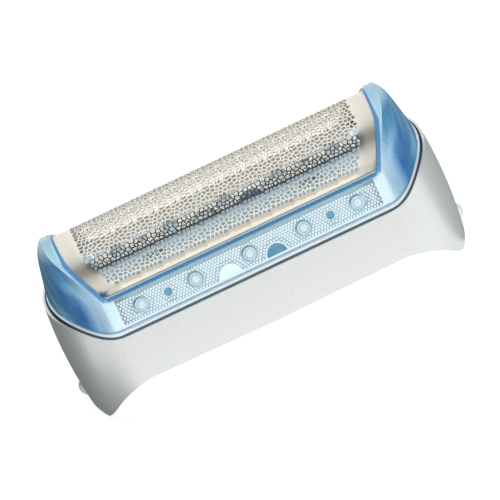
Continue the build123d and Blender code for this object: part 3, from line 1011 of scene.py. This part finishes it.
table = bpy.data.materials.new("white_table")
table.use_nodes = True
table_tree = table.node_tree
table_tree.nodes.clear()
white = table_tree.nodes.new("ShaderNodeBsdfDiffuse")
white.inputs["Color"].default_value = FLOOR_WHITE
glow = table_tree.nodes.new("ShaderNodeEmission")
glow_strength = between(table_tree, seen_directly(table_tree), FLOOR_GLOW_REST, FLOOR_GLOW_SEEN)
table_tree.links.new(glow_strength, glow.inputs["Strength"])
both = table_tree.nodes.new("ShaderNodeAddShader")
table_tree.links.new(white.outputs[0], both.inputs[0])
table_tree.links.new(glow.outputs[0], both.inputs[1])
table_out = table_tree.nodes.new("ShaderNodeOutputMaterial")
table_tree.links.new(both.outputs[0], table_out.inputs["Surface"])
floor_mesh.materials.append(table)
print("floor laid,", 2 * FLOOR_HALF, "m wide")

# %% [markdown]
# ## Light
#
# The head stands in a white tent: an even pale world, a large soft lamp above and a little behind, and a
# smaller one further off in front and at the back. The lamps are hidden from reflections and from what is
# seen through plastic, so that the metal shows the tent and not bright squares.

# %% Set up the tent and the lamps
WORLD_SEEN = 1.0
WORLD_REST = 0.22
LIGHT_AIM = Vector((0, 0, 0.012))
LAMPS = (
    ("overhead", (0.05, 0.12, 0.55), 0.4, 1.7),
    ("front_fill", (0.12, -0.7, 0.14), 0.3, 4.2),
    ("back_fill", (-0.12, 0.7, 0.14), 0.3, 2.4),
)
world = bpy.data.worlds.new("tent")
scene.world = world
world.use_nodes = True
sky = world.node_tree.nodes["Background"]
sky.inputs["Color"].default_value = (1, 1, 1, 1)
sky_strength = between(world.node_tree, seen_directly(world.node_tree), WORLD_REST, WORLD_SEEN)
world.node_tree.links.new(sky_strength, sky.inputs["Strength"])


def soft_lamp(name, place, size, power):
    """Square area lamp that faces the head."""
    data = bpy.data.lights.new(name, "AREA")
    data.size = size
    data.energy = power
    lamp = bpy.data.objects.new(name, data)
    lamp.location = place
    lamp.rotation_euler = (LIGHT_AIM - Vector(place)).to_track_quat("-Z", "Y").to_euler()
    lamp.visible_glossy = False
    lamp.visible_transmission = False
    scene.collection.objects.link(lamp)


for lamp in LAMPS:
    soft_lamp(*lamp)
print("tent and", len(LAMPS), "lamps in place")

# %% [markdown]
# ## Cards
#
# Metal in a white tent looks flat, so cards stand round the head, hidden from the camera. Three in front,
# dark above the camera, dusky at its height and grey below it, give the arch its bands. A dark one on each
# side shades the ends of the shell. Strips on the table show only in reflections: slate and ash beside the
# ends, slate at the left foot, and a sandy one in front, which warms the lower part of the foil.

# %% Set up the cards
CARD_COLOURS = {
    "dark": (0.03, 0.026, 0.023),
    "dusk": (0.22, 0.20, 0.19),
    "grey": (0.80, 0.84, 0.88),
    "slate": (0.12, 0.138, 0.143),
    "ash": (0.34, 0.37, 0.38),
    "sand": (0.70, 0.66, 0.60),
}
FRONT_CARD_WIDTH = 2.4
FRONT_CARDS = (
    ("card_over_camera", 31, 64, "dark"),
    ("card_at_camera", 27, 31, "dusk"),
    ("card_below_camera", 12, 27, "grey"),
)
STRIP_Z = 0.05 * MM
STRIPS = (
    ("strip_left", -0.15, -0.028, -0.006, 0.09, "slate"),
    ("strip_right", 0.028, 0.15, -0.006, 0.09, "ash"),
    ("strip_foot", -0.045, -0.0245, -0.024, -0.006, "slate"),
    ("strip_front", -0.08, 0.08, -0.13, -0.038, "sand"),
)
SIDE_CARDS = (
    ("card_left", (-0.4, 0, 0.2), 0.9, 0.6, "dark"),
    ("card_right", (0.6, 0, 0.2), 0.8, 0.45, "dark"),
)


def card_material(name, colour):
    """Even glow of one colour, so that a card looks the same however it is lit."""
    material = bpy.data.materials.new(name)
    material.use_nodes = True
    tree = material.node_tree
    tree.nodes.clear()
    shine = tree.nodes.new("ShaderNodeEmission")
    shine.inputs["Color"].default_value = (*colour, 1)
    target = tree.nodes.new("ShaderNodeOutputMaterial")
    tree.links.new(shine.outputs[0], target.inputs["Surface"])
    return material


card_materials = {name: card_material(f"{name}_card", colour) for name, colour in CARD_COLOURS.items()}


def rectangle(name, from_x, to_x, from_y, to_y, z, colour):
    """Level rectangle of the stage, hidden from the camera."""
    mesh = bpy.data.meshes.new(name)
    places = ((from_x, from_y), (to_x, from_y), (to_x, to_y), (from_x, to_y))
    mesh.from_pydata([(place_x, place_y, z) for place_x, place_y in places], [], [[0, 1, 2, 3]])
    mesh.materials.append(card_materials[colour])
    piece = bpy.data.objects.new(name, mesh)
    piece.visible_camera = False
    scene.collection.objects.link(piece)
    return piece


def card(name, place, width, dome_shade, colour, shades=True):
    """Card that faces the head; without shading it is only reflected."""
    piece = rectangle(name, -width / 2, width / 2, -dome_shade / 2, dome_shade / 2, 0, colour)
    piece.location = place
    piece.rotation_euler = (LIGHT_AIM - Vector(place)).to_track_quat("Z", "Y").to_euler()
    piece.visible_diffuse = shades
    piece.visible_shadow = shades


for name, low, high, colour in FRONT_CARDS:
    lift = math.radians((low + high) / 2)
    card_height = 2 * math.tan(math.radians(high - low) / 2)
    card(name, (0, -math.cos(lift), math.sin(lift)), FRONT_CARD_WIDTH, card_height, colour, shades=False)
for name, from_x, to_x, from_y, to_y, colour in STRIPS:
    strip = rectangle(name, from_x, to_x, from_y, to_y, STRIP_Z, colour)
    strip.visible_diffuse = False
    strip.visible_transmission = False
    strip.visible_shadow = False
for side_card in SIDE_CARDS:
    card(*side_card)
print("cards and strips:", len(FRONT_CARDS) + len(STRIPS) + len(SIDE_CARDS))

# %% [markdown]
# ## Camera
#
# The head is seen from the front and 29 degrees above, through a long lens, with the camera rolled so that
# the right end stands higher in the picture. The lens and the distance together make the picture's width
# 69.4 mm at the head. The camera's axes are written out as vectors, because a roll is hard to read in Euler
# angles.

# %% Place the camera
VIEW_LIFT = math.radians(29.0)
VIEW_ROLL = math.radians(25.3)
PICTURE_WIDTH = 69.4 * MM
LENS_MM = 1200.0
SENSOR_MM = 36.0
CLIP_START = 0.1
look_at = Vector((0.28, 0, 10.0)) * MM
level_right = Vector((1, 0, 0))
level_up = Vector((0, math.sin(VIEW_LIFT), math.cos(VIEW_LIFT)))
towards_eye = level_right.cross(level_up)
picture_right = level_right * math.cos(VIEW_ROLL) - level_up * math.sin(VIEW_ROLL)
picture_up = level_right * math.sin(VIEW_ROLL) + level_up * math.cos(VIEW_ROLL)
eye_distance = PICTURE_WIDTH * LENS_MM / SENSOR_MM

camera_data = bpy.data.cameras.new("portrait")
camera_data.lens = LENS_MM
camera_data.sensor_width = SENSOR_MM
camera_data.clip_start = CLIP_START
camera = bpy.data.objects.new("portrait", camera_data)
turn = Matrix((picture_right, picture_up, towards_eye)).transposed().to_4x4()
camera.matrix_world = Matrix.Translation(look_at + towards_eye * eye_distance) @ turn
scene.collection.objects.link(camera)
scene.camera = camera
scene.view_settings.view_transform = "Standard"
print("camera at", [round(value, 4) for value in camera.matrix_world.translation])

# %% Update the scene
bpy.context.view_layer.update()
